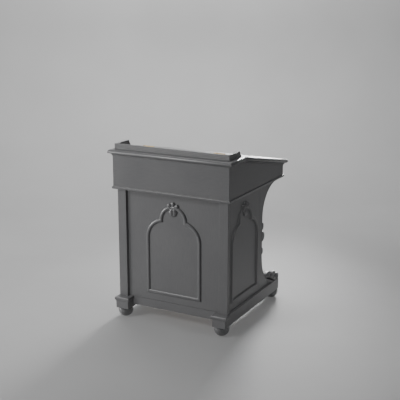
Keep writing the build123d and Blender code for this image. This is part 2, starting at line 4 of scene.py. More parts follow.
import bmesh
import bpy
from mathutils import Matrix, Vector


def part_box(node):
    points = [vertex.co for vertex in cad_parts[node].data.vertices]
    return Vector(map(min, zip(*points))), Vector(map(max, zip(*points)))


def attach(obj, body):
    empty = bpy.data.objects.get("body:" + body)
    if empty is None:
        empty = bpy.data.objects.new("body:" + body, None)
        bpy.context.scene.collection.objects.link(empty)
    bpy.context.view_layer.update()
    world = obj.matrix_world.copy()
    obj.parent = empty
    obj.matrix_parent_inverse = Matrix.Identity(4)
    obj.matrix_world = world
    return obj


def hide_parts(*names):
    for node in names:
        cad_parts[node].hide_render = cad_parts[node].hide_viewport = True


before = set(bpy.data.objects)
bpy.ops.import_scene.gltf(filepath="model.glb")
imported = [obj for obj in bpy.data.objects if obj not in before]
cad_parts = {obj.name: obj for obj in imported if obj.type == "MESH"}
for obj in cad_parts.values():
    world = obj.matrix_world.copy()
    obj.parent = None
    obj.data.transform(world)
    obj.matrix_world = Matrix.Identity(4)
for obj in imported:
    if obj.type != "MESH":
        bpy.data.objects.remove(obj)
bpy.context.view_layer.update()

MM = 0.001
SIDES = {"left": 1, "right": -1}
LID_SLOPE = math.radians(11.77)


# ---------------------------------------------------------------- camera, light and floor
CAMERA_AT = Vector((1.9014, -3.5720, 1.5875))
CAMERA_AZIMUTH = math.radians(28.06)
CAMERA_DOWN = math.radians(14.51)
CAMERA_LENS_MM = 78.2
CAMERA_SENSOR_MM = 36.0
CAMERA_REACH = 100.0


def make_camera():
    """The photo's own camera, solved from the straight edges of the desk."""
    data = bpy.data.cameras.new("camera")
    data.lens, data.sensor_width = CAMERA_LENS_MM, CAMERA_SENSOR_MM
    data.clip_end = CAMERA_REACH
    camera = bpy.data.objects.new("camera", data)
    bpy.context.scene.collection.objects.link(camera)
    level = math.cos(CAMERA_DOWN)
    look = Vector((-math.sin(CAMERA_AZIMUTH) * level, math.cos(CAMERA_AZIMUTH) * level, -math.sin(CAMERA_DOWN)))
    camera.location = CAMERA_AT
    camera.rotation_mode = "QUATERNION"
    camera.rotation_quaternion = look.to_track_quat("-Z", "Y")
    bpy.context.scene.camera = camera


MIDDLE_OF_DESK = (0.0, 0.0, 0.45)
WORLD_COLOUR = (0.92, 0.94, 1.0, 1.0)
WORLD_STRENGTH = 0.06


def area_light(name, place, size, power, shadow=True, aim=MIDDLE_OF_DESK, spread=180.0):
    """A round soft light: size across in metres, power in watts, spread in degrees."""
    data = bpy.data.lights.new(name, "AREA")
    data.shape, data.size, data.energy, data.use_shadow = "DISK", size, power, shadow
    data.spread = math.radians(spread)
    light = bpy.data.objects.new(name, data)
    bpy.context.scene.collection.objects.link(light)
    light.visible_camera = False
    light.location = place
    light.rotation_mode = "QUATERNION"
    light.rotation_quaternion = (Vector(aim) - Vector(place)).to_track_quat("-Z", "Y")


def make_lights():
    """A key from the photo's left, weak lights round the desk, and one aimed at the floor behind it."""
    area_light("key", (-1.8, -2.9, 2.6), 1.2, 50.0)
    area_light("key_soft", (-1.7, -3.0, 2.5), 1.2, 45.0, shadow=False)
    area_light("left", (-3.4, -1.8, 1.1), 0.7, 95.0, shadow=False)
    area_light("right", (3.7, -0.3, 2.1), 0.8, 23.0)
    area_light("above", (-0.2, 0.2, 3.2), 1.0, 9.0)
    area_light("behind", (-0.37, 2.25, 1.33), 0.7, 10.0, spread=60.0)
    area_light("backdrop", (-0.66, 1.24, 3.4), 2.5, 170.0, aim=(-2.3, 4.3, 0.6))
    world = bpy.data.worlds.new("world")
    world.use_nodes = True
    sky = world.node_tree.nodes["Background"]
    sky.inputs["Color"].default_value = WORLD_COLOUR
    sky.inputs["Strength"].default_value = WORLD_STRENGTH
    bpy.context.scene.world = world


# ---------------------------------------------------------------- mesh building
MERGE_GAP = 0.01 * MM


class Shell:
    """Points and faces gathered from grids and caps, then made into one piece."""

    def __init__(self):
        self.points, self.faces = [], []

    def grid(self, rows, wrap_rows=False, wrap_columns=False):
        start, wide, tall = len(self.points), len(rows[0]), len(rows)
        for row in rows:
            self.points.extend(row)
        for i in range(tall if wrap_rows else tall - 1):
            for j in range(wide if wrap_columns else wide - 1):
                near, far = start + i * wide, start + (i + 1) % tall * wide
                self.faces.append((near + j, near + (j + 1) % wide, far + (j + 1) % wide, far + j))

    def cap(self, ring):
        start = len(self.points)
        self.points.extend(ring)
        self.faces.append(tuple(range(start, start + len(ring))))

    def piece(self, name, body, material, slot, stands_for, sharp):
        """One object that rides on a body in place of CAD nodes; edges over sharp degrees stay crisp."""
        mesh = bpy.data.meshes.new(name)
        mesh.from_pydata([tuple(p) for p in self.points], [], self.faces)
        work = bmesh.new()
        work.from_mesh(mesh)
        bmesh.ops.remove_doubles(work, verts=work.verts, dist=MERGE_GAP)
        bmesh.ops.dissolve_degenerate(work, edges=work.edges, dist=MERGE_GAP)
        bmesh.ops.recalc_face_normals(work, faces=work.faces)
        for face in work.faces:
            face.smooth = True
        limit = math.radians(sharp)
        for edge in work.edges:
            edge.smooth = edge.is_manifold and edge.calc_face_angle(0.0) < limit
        work.to_mesh(mesh)
        work.free()
        mesh.materials.append(material)
        made = bpy.data.objects.new(name, mesh)
        bpy.context.scene.collection.objects.link(made)
        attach(made, body)
        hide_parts(*stands_for)


def arc(centre, radius, first, last, count):
    """Points (a, b) on a circle or, with a pair of radii, an ellipse; angles in degrees."""
    wide, tall = radius if isinstance(radius, tuple) else (radius, radius)
    turns = [math.radians(first + (last - first) * i / (count - 1)) for i in range(count)]
    return [(centre[0] + wide * math.cos(t), centre[1] + tall * math.sin(t)) for t in turns]


# ---------------------------------------------------------------- materials
EDGE_SAMPLES = 4
CREVICE_SAMPLES = 6


class Graph:
    """A material's node tree, built by naming each node's inputs."""

    def __init__(self, name):
        self.material = bpy.data.materials.new(name)
        self.material.use_nodes = True
        self.tree = self.material.node_tree
        self.shader = self.tree.nodes["Principled BSDF"]

    def add(self, kind, settings=None, **inputs):
        node = self.tree.nodes.new("ShaderNode" + kind)
        for key, value in (settings or {}).items():
            setattr(node, key, value)
        for key, value in inputs.items():
            self.put(node.inputs[key.replace("_", " ")], value)
        return node

    def put(self, socket, value):
        if isinstance(value, bpy.types.NodeSocket):
            self.tree.links.new(value, socket)
        else:
            socket.default_value = value

    def ramp(self, factor, stops):
        node = self.add("ValToRGB", Fac=factor)
        band = node.color_ramp
        while len(band.elements) < len(stops):
            band.elements.new(0.5)
        for element, (place, shade) in zip(band.elements, stops):
            element.position = place
            element.color = (*shade, 1.0) if isinstance(shade, tuple) else (shade, shade, shade, 1.0)
        return node.outputs["Color"]

    def math(self, operation, first, second):
        node = self.add("Math", {"operation": operation})
        self.put(node.inputs[0], first)
        self.put(node.inputs[1], second)
        return node.outputs[0]

    def mix(self, blend, factor, first, second):
        node = self.add("Mix", {"data_type": "RGBA", "blend_type": blend})
        self.put(node.inputs[0], factor)
        self.put(node.inputs[6], first)
        self.put(node.inputs[7], second)
        return node.outputs[2]

    def noise(self, where, scale, detail, distortion=0.0):
        node = self.add("TexNoise", Vector=where, Scale=scale, Detail=detail, Distortion=distortion)
        return node.outputs["Fac"]

    def stretched(self, along, pull):
        """Object coordinates squeezed across the grain, so that noise draws out along one axis."""
        scale = [pull, pull, pull]
        scale["XYZ".index(along)] = 1.0
        where = self.add("TexCoord").outputs["Object"]
        return self.add("Mapping", Vector=where, Scale=tuple(scale)).outputs["Vector"]

    def edge(self, radius):
        """Near 1 on arrises and 0 on open faces."""
        soft = self.add("Bevel", {"samples": EDGE_SAMPLES}, Radius=radius).outputs["Normal"]
        hard = self.add("NewGeometry").outputs["Normal"]
        dot = self.add("VectorMath", {"operation": "DOT_PRODUCT"})
        self.put(dot.inputs[0], soft)
        self.put(dot.inputs[1], hard)
        return self.math("SUBTRACT", 1.0, dot.outputs["Value"])

    def crevice(self, distance):
        """Near 0 in corners tighter than the distance and 1 in the open."""
        return self.add("AmbientOcclusion", {"samples": CREVICE_SAMPLES}, Distance=distance).outputs["AO"]

    def bump(self, height, strength, distance):
        node = self.add("Bump", Height=height, Strength=strength, Distance=distance)
        self.put(self.shader.inputs["Normal"], node.outputs["Normal"])


PAINT = (0.120, 0.120, 0.122)
PAINT_DARK = (0.109, 0.109, 0.112)
RUBBED = (0.165, 0.163, 0.160)
# The dark colour of the painted shade in the quirks of the paint.
PAINTED_CREVICE_SHADE = (0.045, 0.045, 0.047)
POLISH_DARK = (0.060, 0.061, 0.063)
POLISH_LIGHT = (0.098, 0.099, 0.101)
WOOD_DARK, WOOD_MIDDLE, WOOD_LIGHT = (0.155, 0.088, 0.042), (0.30, 0.185, 0.098), (0.40, 0.27, 0.155)
# The dark colour of the painted shade in the corners of the bare boards.
WOOD_CORNER_SHADE = (0.05, 0.03, 0.018)
BRASS_DARK, BRASS_MIDDLE, BRASS_LIGHT = (0.20, 0.125, 0.045), (0.50, 0.36, 0.15), (0.62, 0.47, 0.22)
BRASS_DIRT = (0.05, 0.035, 0.015)
FLOOR_DARK, FLOOR_LIGHT = (0.32, 0.32, 0.32), (0.35, 0.35, 0.35)


def painted(along, crevice_shade_amount=0.5):
    """Satin grey paint over wood: the grain telegraphs through, arrises are rubbed, and painted shade darkens the
    quirks.
    """
    g = Graph(f"painted_wood_{along.lower()}_{round(100 * crevice_shade_amount)}")
    place = g.add("TexCoord").outputs["Object"]
    grain = g.noise(g.stretched(along, 14.0), scale=26.0, detail=7.0, distortion=0.6)
    brush = g.noise(g.stretched(along, 30.0), scale=60.0, detail=3.0)
    cloud = g.noise(place, scale=5.0, detail=3.0, distortion=0.3)
    colour = g.mix("MIX", g.ramp(cloud, [(0.30, 0.0), (0.72, 1.0)]), (*PAINT_DARK, 1), (*PAINT, 1))
    colour = g.mix("MULTIPLY", 0.4, colour, g.ramp(grain, [(0.32, 0.75), (0.62, 1.0)]))
    worn = g.math("MULTIPLY", g.ramp(g.edge(2.2 * MM), [(0.03, 0.0), (0.22, 1.0)]),
                  g.ramp(g.noise(place, scale=30.0, detail=5.0), [(0.36, 0.05), (0.62, 0.8)]))
    colour = g.mix("MIX", worn, colour, (*RUBBED, 1))
    # Painted shade: the colour goes dark in quirks and corners tighter than 3 mm, standing in for the shade there.
    crevice_shade_and_patina = g.ramp(g.crevice(3 * MM), [(0.15, 1.0), (0.55, 0.0)])
    colour = g.mix("MIX", g.math("MULTIPLY", crevice_shade_and_patina, crevice_shade_amount), colour, (*PAINTED_CREVICE_SHADE, 1))
    g.put(g.shader.inputs["Base Color"], colour)
    rough = g.math("ADD", g.math("MULTIPLY", brush, 0.16), g.math("MULTIPLY", cloud, 0.12))
    rough = g.math("SUBTRACT", g.math("ADD", rough, 0.26), g.math("MULTIPLY", worn, 0.08))
    g.put(g.shader.inputs["Roughness"], rough)
    g.shader.inputs["Coat Weight"].default_value = 0.28
    g.shader.inputs["Coat Roughness"].default_value = 0.25
    g.bump(g.math("ADD", grain, g.math("MULTIPLY", brush, 0.5)), strength=0.22, distance=0.5 * MM)
    return g.material


def turned_polish():
    """The feet: the same grey, darker, polished on the lathe with faint rings."""
    g = Graph("turned_wood")
    place = g.add("TexCoord").outputs["Object"]
    ring = g.noise(g.add("Mapping", Vector=place, Scale=(1, 1, 40)).outputs["Vector"], scale=9.0, detail=4.0)
    cloud = g.noise(place, scale=22.0, detail=4.0)
    colour = g.mix("MIX", cloud, (*POLISH_DARK, 1), (*POLISH_LIGHT, 1))
    colour = g.mix("MULTIPLY", 0.35, colour, g.ramp(ring, [(0.35, 0.7), (0.6, 1.0)]))
    scuff = g.ramp(g.noise(place, scale=70.0, detail=6.0), [(0.60, 0.0), (0.70, 1.0)])
    colour = g.mix("MIX", g.math("MULTIPLY", scuff, 0.25), colour, (*RUBBED, 1))
    g.put(g.shader.inputs["Base Color"], colour)
    g.put(g.shader.inputs["Roughness"], g.math("ADD", g.math("MULTIPLY", cloud, 0.12), 0.12))
    g.shader.inputs["Coat Weight"].default_value = 1.0
    g.shader.inputs["Coat Roughness"].default_value = 0.12
    g.shader.inputs["Coat IOR"].default_value = 1.8
    g.bump(ring, strength=0.10, distance=0.4 * MM)
    return g.material


def bare_wood(along):
    """Plain planed boards inside the box and the cupboard."""
    g = Graph(f"bare_wood_{along.lower()}")
    place = g.add("TexCoord").outputs["Object"]
    grain = g.noise(g.stretched(along, 12.0), scale=14.0, detail=8.0, distortion=1.2)
    pores = g.noise(g.stretched(along, 45.0), scale=70.0, detail=2.0)
    colour = g.ramp(grain, [(0.30, WOOD_DARK), (0.52, WOOD_MIDDLE), (0.74, WOOD_LIGHT)])
    colour = g.mix("MULTIPLY", 0.6, colour, g.ramp(pores, [(0.36, 0.62), (0.50, 1.0)]))
    cloud = g.noise(place, scale=3.0, detail=2.0)
    colour = g.mix("MULTIPLY", 0.4, colour, g.ramp(cloud, [(0.3, 0.7), (0.7, 1.0)]))
    # Painted shade: the boards go dark within 30 mm of a corner.
    crevice_shade_and_patina = g.ramp(g.crevice(30 * MM), [(0.2, 1.0), (0.8, 0.0)])
    colour = g.mix("MIX", g.math("MULTIPLY", crevice_shade_and_patina, 0.5), colour, (*WOOD_CORNER_SHADE, 1))
    g.put(g.shader.inputs["Base Color"], colour)
    g.put(g.shader.inputs["Roughness"], g.math("ADD", g.math("MULTIPLY", pores, 0.25), 0.42))
    g.bump(g.math("ADD", grain, pores), strength=0.3, distance=0.4 * MM)
    return g.material


def aged_brass():
    """Hinges, knobs and the lock's plate: dull yellow metal, brown in its corners."""
    g = Graph("brass_fittings")
    place = g.add("TexCoord").outputs["Object"]
    cloud = g.noise(place, scale=60.0, detail=5.0, distortion=0.4)
    colour = g.ramp(cloud, [(0.34, BRASS_DARK), (0.56, BRASS_MIDDLE), (0.8, BRASS_LIGHT)])
    crevice_shade_and_patina = g.ramp(g.crevice(4 * MM), [(0.3, 1.0), (0.85, 0.0)])
    colour = g.mix("MIX", g.math("MULTIPLY", crevice_shade_and_patina, 0.7), colour, (*BRASS_DIRT, 1))
    g.put(g.shader.inputs["Base Color"], colour)
    g.shader.inputs["Metallic"].default_value = 1.0
    g.put(g.shader.inputs["Roughness"], g.math("ADD", g.math("MULTIPLY", cloud, 0.30), 0.16))
    g.bump(g.noise(place, scale=300.0, detail=3.0), strength=0.12, distance=0.2 * MM)
    return g.material


def floor_finish():
    """A pale grey studio floor with a faint cloud in it."""
    g = Graph("floor")
    cloud = g.noise(g.add("TexCoord").outputs["Object"], scale=1.3, detail=3.0)
    g.put(g.shader.inputs["Base Color"], g.ramp(cloud, [(0.3, FLOOR_DARK), (0.7, FLOOR_LIGHT)]))
    g.shader.inputs["Roughness"].default_value = 0.65
    return g.material


FLOOR_NEAR, FLOOR_FAR, FLOOR_HALF_WIDE = -8.0, 3.2, 7.0
BACKDROP_TOP, BACKDROP_BEND = 4.0, 1.2


def make_floor():
    """A flat floor that rises in a wide curve into a plain backdrop behind the desk."""
    bend_at = FLOOR_FAR - BACKDROP_BEND
    profile = [(FLOOR_NEAR, 0.0), (bend_at, 0.0)]
    profile += arc((bend_at, BACKDROP_BEND), BACKDROP_BEND, -90, 0, 16)[1:] + [(FLOOR_FAR, BACKDROP_TOP)]
    shell = Shell()
    turn = Vector((-math.sin(CAMERA_AZIMUTH), math.cos(CAMERA_AZIMUTH), 0))
    across = Vector((turn.y, -turn.x, 0))
    shell.grid([[turn * a + across * side * FLOOR_HALF_WIDE + Vector((0, 0, b)) for a, b in profile]
                for side in (-1, 1)])
    mesh = bpy.data.meshes.new("floor")
    mesh.from_pydata([tuple(p) for p in shell.points], [], shell.faces)
    mesh.materials.append(floor_finish())
    for face in mesh.polygons:
        face.use_smooth = True
    floor = bpy.data.objects.new("floor", mesh)
    bpy.context.scene.collection.objects.link(floor)


PAINTED = {axis: painted(axis) for axis in "XYZ"}
# The bottom rail's paint has full painted shade, to draw a dark shadow line in the gap under the back panel.
RAIL_PAINT_GAP_SHADE = painted("X", crevice_shade_amount=1.0)
BARE = {axis: bare_wood(axis) for axis in "XYZ"}
BRASS = aged_brass()
POLISH = turned_polish()

GRAIN = {
    "X": ("box_back", "box_front", "rear_bottom_rail", "flat_top", "gallery_back", "lid_panel", "box_bottom",
          "cupboard", "nest_shelf", "well_drawer", "box_base_bead", "cornice_cove", "lid_bead"),
    "Y": ("box_side", "runner", "gallery_return"),
}
BARE_NODES = ("cupboard", "nest", "well_drawer", "box_bottom")
BRASS_NODES = ("lid_hinge", "door_hinge", "door_knob", "lid_lock", "well_drawer_knob")
WELD_GAP = 0.005 * MM
FLAT_WITHIN = math.radians(0.6)
ARRIS_OVER = math.radians(38)
EASE_STEPS = 3
BRASS_EASE, RAIL_EASE, BARE_EASE, TURNED_EASE, PAINT_EASE = 0.25 * MM, 0.5 * MM, 0.7 * MM, 1.0 * MM, 1.1 * MM


def grain_of(node):
    """The axis that a board's grain runs along."""
    for axis, starts in GRAIN.items():
        if node.startswith(starts):
            return axis
    return "Z"


def ease_edges(piece, width):
    """Merges the tessellated faces of a CAD node and eases its arrises, by modifiers only."""
    weld = piece.modifiers.new("weld", "WELD")
    weld.merge_threshold = WELD_GAP
    flat = piece.modifiers.new("flat", "DECIMATE")
    flat.decimate_type, flat.angle_limit = "DISSOLVE", FLAT_WITHIN
    bevel = piece.modifiers.new("ease", "BEVEL")
    bevel.width, bevel.segments, bevel.limit_method = width, EASE_STEPS, "ANGLE"
    bevel.angle_limit, bevel.harden_normals = ARRIS_OVER, True


def dress_cad_nodes():
    """Gives every CAD node its material and eased arrises; those that a finer piece replaces are hidden later."""
    for name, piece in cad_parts.items():
        if name.startswith(BRASS_NODES):
            material, ease = BRASS, BRASS_EASE
        # The rear bottom rail takes the paint with full painted shade in its gap.
        elif name == "rear_bottom_rail":
            material, ease = RAIL_PAINT_GAP_SHADE, RAIL_EASE
        elif name.startswith("ball_foot"):
            material, ease = POLISH, TURNED_EASE
        elif name.startswith(BARE_NODES):
            material, ease = BARE[grain_of(name)], BARE_EASE
        else:
            material, ease = PAINTED[grain_of(name)], PAINT_EASE
        for place in piece.material_slots:
            place.material = material
        ease_edges(piece, ease)


# ---------------------------------------------------------------- arches
# Each arch is two shoulder circles and a lobe circle. The photo's shoulders stand a little higher and its lobe is a
# little larger than the CAD's, by SHOULDER_LIFT and LOBE_SWELL.
ARCH_BAND = 19.0 * MM
SHOULDER_LIFT = 7.0 * MM
SHOULDER_Z = 401.0 * MM + SHOULDER_LIFT
SHOULDER_R = 100.2 * MM
LOBE_Z = 500.0 * MM
LOBE_SWELL = 4.0 * MM
ARC_STEPS = 18
CROWN_STEPS = 19
FILLET_HEIGHT = 0.12
FILLET_WIDTH = 0.01
CROWN_HALF_WIDTH = 0.46
ARCH_SHARP = 30.0


def plate(node):
    """Half the width of a node planted flat on a face, and how far it stands proud."""
    low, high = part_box(node)
    sizes = (high.x - low.x, high.y - low.y)
    return max(sizes) / 2, min(sizes)


def face_frame(node):
    """Where a moulding stands: a function from (across, up, proud) to a point, for the face it is planted on."""
    low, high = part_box(node)
    thin = min(range(3), key=lambda k: high[k] - low[k])
    middle = (low + high) / 2
    if thin == 1:
        return lambda a, z, h: Vector((a + middle.x, high.y - h, z))
    side = 1 if middle.x > 0 else -1
    return lambda a, z, h: Vector((low.x + h if side > 0 else high.x - h, middle.y + side * a, z))


def arch_outline(node, inset):
    """The cusped arch moved in by inset, as (across, up) points: the same count for every inset."""
    low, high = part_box(node)
    half, _ = plate(node)
    lobe_r, lead = high.z + LOBE_SWELL - LOBE_Z - inset, half - SHOULDER_R
    shoulder_r = SHOULDER_R - inset
    gap, rise = math.hypot(lead, LOBE_Z - SHOULDER_Z), LOBE_Z - SHOULDER_Z
    reach = (gap ** 2 + shoulder_r ** 2 - lobe_r ** 2) / (2 * gap)
    spread = math.acos(reach / shoulder_r)
    cusp = math.degrees(math.atan2(rise, -lead) - spread)
    across = lead + shoulder_r * math.cos(math.radians(cusp))
    up = SHOULDER_Z + shoulder_r * math.sin(math.radians(cusp))
    lobe_start = math.degrees(math.atan2(up - LOBE_Z, across))
    right = [(half - inset, low.z + inset)] + arc((lead, SHOULDER_Z), shoulder_r, 0, cusp, ARC_STEPS)
    right += arc((0, LOBE_Z), lobe_r, lobe_start, 90, ARC_STEPS)[:-1]
    top = [(0.0, LOBE_Z + lobe_r)]
    return right + top + [(-a, z) for a, z in reversed(right)]


def moulding_profile(proud):
    """(inset, height): a bold half round between two thin fillets."""
    fillet, edge = FILLET_HEIGHT * proud, FILLET_WIDTH * ARCH_BAND
    crown = arc((0.5 * ARCH_BAND, fillet), (CROWN_HALF_WIDTH * ARCH_BAND, proud - fillet), 180, 0, CROWN_STEPS)
    return [(0, 0), (edge, fillet)] + crown + [(ARCH_BAND - edge, fillet), (ARCH_BAND, 0)]


def make_arch(node, body):
    """A half round swept along the arch, closed at the sill."""
    put = face_frame(node)
    _, proud = plate(node)
    shell = Shell()
    rows = [[put(a, z, height) for a, z in arch_outline(node, inset)] for inset, height in moulding_profile(proud)]
    shell.grid(rows, wrap_rows=True, wrap_columns=True)
    shell.piece(f"{node}_swept", body, PAINTED["Z"], "painted_wood", [node], ARCH_SHARP)


# ---------------------------------------------------------------- carving
# The three leaves and two buds over the boss of each arch, as shares of the carving's half width or in metres.
BOSS_R, LEAF_R = 0.70, 0.37
LEAF_DROP = 9.0 * MM
BUD_R, BUD_OUT, BUD_UP, BUD_PROUD = 4.5 * MM, 9.0 * MM, 2.0 * MM, 0.75
CARVED_SHARP = 50.0

# The knuckles of each bracket: place up the carving as a share, half height in metres, and height as a share.
KNUCKLES = ((0.558, 24.0 * MM, 1.0), (0.891, 17.0 * MM, 0.55), (0.096, 15.0 * MM, 0.42))
KNUCKLE_OVERHANG = 1.5 * MM
KNUCKLE_LEAVES = 5
KNUCKLE_COLUMNS, KNUCKLE_ROWS = 49, 33


def relief(shell, put, centre, radius, height, surface, rim, spokes, rings):
    """A raised carved form on a face. surface(r, turn) gives its height and rim(turn) its edge, as shares."""
    turns = [2 * math.pi * j / spokes for j in range(spokes)]
    edge = []
    for turn in turns:
        reach = radius * rim(turn)
        edge.append((centre[0] + reach * math.cos(turn), centre[1] + reach * math.sin(turn)))
    rows = []
    for i in range(rings + 1):
        share = i / rings
        row = []
        for turn, (a, z) in zip(turns, edge):
            here = (centre[0] + (a - centre[0]) * share, centre[1] + (z - centre[1]) * share)
            row.append(put(*here, height * surface(share, turn)))
        rows.append(row)
    rows.append([put(a, z, 0) for a, z in edge])
    rows.append([put(*centre, 0)] * spokes)
    shell.grid(rows, wrap_columns=True)


def dome(share, power=0.5):
    """1 in the middle and 0 at the rim; a lower power makes it fuller."""
    return max(0.0, 1 - share * share) ** power


def shell_boss(share, turn):
    """A fluted shell parted down its middle, its ribs running up to the hinge of the shell."""
    across = share * math.cos(turn)
    along = share * math.sin(turn)
    fan = math.atan2(across, 1.35 - along)
    ribs = abs(math.sin(4.2 * fan)) ** 0.6
    parting = math.exp(-((across / 0.10) ** 2))
    return 0.15 + 0.85 * dome(share, 0.42) * (0.70 + 0.30 * ribs - 0.22 * parting)


def cupped_leaf(share, turn):
    """A small plump leaf, nearly a ball, with a vein cut down it."""
    vein = math.exp(-((share * math.cos(turn) / 0.16) ** 2)) * (0.5 - 0.5 * share * math.sin(turn))
    return 0.10 + 0.90 * dome(share, 0.52) * (1 - 0.22 * vein)


def plain_bud(share, turn):
    return 0.2 + 0.8 * dome(share)


def make_arch_carving(node, body):
    """A fluted shell in the lobe of the arch, with three leaves and two buds over it."""
    put = face_frame(node)
    low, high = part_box(node)
    half, proud = plate(node)
    boss_r, leaf_r = BOSS_R * half, LEAF_R * half
    boss_z, leaf_z = low.z + boss_r, high.z - leaf_r
    shell = Shell()
    relief(shell, put, (0, boss_z), boss_r, proud, shell_boss, lambda t: 1 + 0.05 * math.cos(8 * t), 72, 14)
    for spot in ((0.0, leaf_z), (half - leaf_r, leaf_z - LEAF_DROP), (leaf_r - half, leaf_z - LEAF_DROP)):
        relief(shell, put, spot, leaf_r, proud, cupped_leaf, lambda t: 1 + 0.03 * math.cos(5 * t), 40, 9)
    for side in (-1, 1):
        spot = (side * BUD_OUT, boss_z + boss_r + BUD_UP)
        relief(shell, put, spot, BUD_R, BUD_PROUD * proud, plain_bud, lambda t: 1.0, 20, 5)
    shell.piece(f"{node}_relief", body, PAINTED["Z"], "painted_wood", [node], CARVED_SHARP)


def knuckle(shell, put, half_wide, half_tall, height):
    """A carved knuckle right across the front of a bracket: leaf ribs, nearly square at its two ends."""
    outs = [2 * j / (KNUCKLE_COLUMNS - 1) - 1 for j in range(KNUCKLE_COLUMNS)]
    foot, head = [[put(half_wide * out, half_tall * way, 0) for out in outs] for way in (-1, 1)]
    grid = [foot]
    for i in range(KNUCKLE_ROWS):
        up = 2 * i / (KNUCKLE_ROWS - 1) - 1
        line = []
        for out in outs:
            swell = max(0.0, 1 - abs(up) ** 2.2) ** 0.5 * max(0.0, 1 - abs(out) ** 10) ** 0.5
            rib = abs(math.cos(math.pi * KNUCKLE_LEAVES * out / 2 * (1 - 0.25 * abs(up)))) ** 0.7
            eye = math.exp(-((out / 0.30) ** 2) - (up / 0.30) ** 2)
            line.append(put(half_wide * out, half_tall * up, height * swell * (0.80 + 0.20 * rib - 0.10 * eye)))
        grid.append(line)
    grid.append(head)
    shell.grid(grid)
    shell.grid([grid[0], grid[-1]])
    for column in (0, -1):
        shell.cap([line[column] for line in grid])


def make_bracket_carving(hand):
    """Three carved knuckles on the waist of a bracket, the middle one the boldest."""
    node = f"bracket_carving_{hand}"
    low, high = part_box(node)
    board_low, board_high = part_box(f"bracket_{hand}")
    middle, wide = (board_low.x + board_high.x) / 2, (board_high.x - board_low.x) / 2
    shell = Shell()
    for share, tall, rise in KNUCKLES:
        at = low.z + share * (high.z - low.z)
        put = lambda a, z, h: Vector((middle + a, low.y + h, at + z))
        knuckle(shell, put, wide + KNUCKLE_OVERHANG, tall, rise * (high.y - low.y))
    shell.piece(f"{node}_relief", "carcass", PAINTED["Z"], "painted_wood", [node], CARVED_SHARP)


# ---------------------------------------------------------------- planted mouldings
MOULDING_SHARP = 32.0
REEDS, REED_STEP, REED_TALL, REED_SUNK = 3, 1.08, 0.22, 0.6 * MM
REED_HALF, REED_FOOT = 0.48, 0.04
REED_TURNS = [math.radians(turn) for turn in range(-80, 81, 20)]
GALLERY_EASE = 2.0 * MM
GALLERY_SHARP = 28.0


def moulding_run(node, corners, profile, closed, along, fall=0.0):
    """A moulding round square corners. corners are (x, y, out_x, out_y); profile is (proud, z); fall is its slope."""
    shell = Shell()
    rear = corners[0][1]
    rows = [[Vector((x + out_x * p, y + out_y * p, z - fall * (y + out_y * p - rear))) for p, z in profile]
            for x, y, out_x, out_y in corners]
    shell.grid(rows, wrap_rows=closed, wrap_columns=True)
    if not closed:
        shell.cap(rows[0])
        shell.cap(rows[-1])
    shell.piece(f"{node}_run", "carcass", PAINTED[along], "painted_wood", [node], MOULDING_SHARP)


def box_corner():
    """The half width of the writing box and the half depth that its mouldings run round."""
    low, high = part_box("box_back")
    return high.x, -low.y


def shares(points, proud, foot, tall):
    """Profile points given as shares of a moulding's projection and height, in metres."""
    return [(p * proud, foot + z * tall) for p, z in points]


def make_base_bead():
    """A planted band round the foot of the writing box: an eased top edge, a flat face, a bevel underneath."""
    low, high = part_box("box_base_bead")
    x, y = box_corner()
    profile = [(0, 0), (0.30, 0), (0.92, 0.17), (1, 0.24)]
    profile += arc((0.60, 0.58), (0.40, 0.16), 0, 90, 7) + [(0.06, 0.78), (0, 1)]
    corners = [(-x, -y, -1, -1), (x, -y, 1, -1), (x, y, 1, 1), (-x, y, -1, 1)]
    moulding_run("box_base_bead", corners, shares(profile, high.x - x, low.z, high.z - low.z), True, "X")


def make_cornice_cove():
    """A hollow with a fillet above and a bead below, under the flat top on three sides."""
    low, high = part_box("cornice_cove")
    (x, y), front = box_corner(), high.y
    proud, tall = high.x - x, high.z - low.z
    bead, fillet = 0.16 * tall, 0.18 * tall
    hollow_foot = low.z + 2.4 * bead
    profile = [(0, high.z), (proud, high.z), (proud, high.z - fillet)]
    profile += arc((proud, hollow_foot), (proud - 1.6 * bead, high.z - fillet - hollow_foot), 90, 180, 9)[1:]
    profile += arc((0.7 * bead, low.z + bead), (1.3 * bead, bead), 80, -80, 8) + [(0, low.z)]
    corners = [(-x, front, -1, 0), (-x, -y, -1, -1), (x, -y, 1, -1), (x, front, 1, 0)]
    moulding_run("cornice_cove", corners, profile, False, "X")


def make_lid_bead():
    """A bead over a quirk and a small fillet, running down both sides under the lid and along the front."""
    low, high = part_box("lid_bead")
    x, y = box_corner()
    fall = math.tan(LID_SLOPE)
    tall = high.z - low.z - fall * (high.y - low.y)
    profile = [(0, 1), (0.45, 1)] + arc((0.45, 0.70), (0.55, 0.30), 80, -80, 9)
    profile += [(0.20, 0.34), (0.20, 0.24), (0.62, 0.20), (0.62, 0.06), (0, 0)]
    corners = [(-x, low.y, -1, 0), (-x, y, -1, 1), (x, y, 1, 1), (x, low.y, 1, 0)]
    moulding_run("lid_bead", corners, shares(profile, high.x - x, high.z - tall, tall), False, "Y", fall)


def make_runner_cap(hand):
    """A torus nosing over a quirk and a fillet, planted round the rear end of a runner."""
    node = f"runner_cap_{hand}"
    low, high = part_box(node)
    rail_low, rail_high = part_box(f"runner_{hand}")
    profile = [(0, 0), (0.06, 0), (0.06, 0.18)]
    profile += arc((0.30, 0.66), (0.70, 0.44), -90, 0, 11) + arc((0.30, 0.66), (0.70, 0.34), 0, 90, 11)[1:]
    profile += [(0, 0.99)]
    corners = [(rail_low.x, high.y, -1, 0), (rail_low.x, rail_low.y, -1, -1), (rail_high.x, rail_low.y, 1, -1),
               (rail_high.x, high.y, 1, 0)]
    moulding_run(node, corners, shares(profile, high.x - rail_high.x, low.z, high.z - low.z), False, "Y")


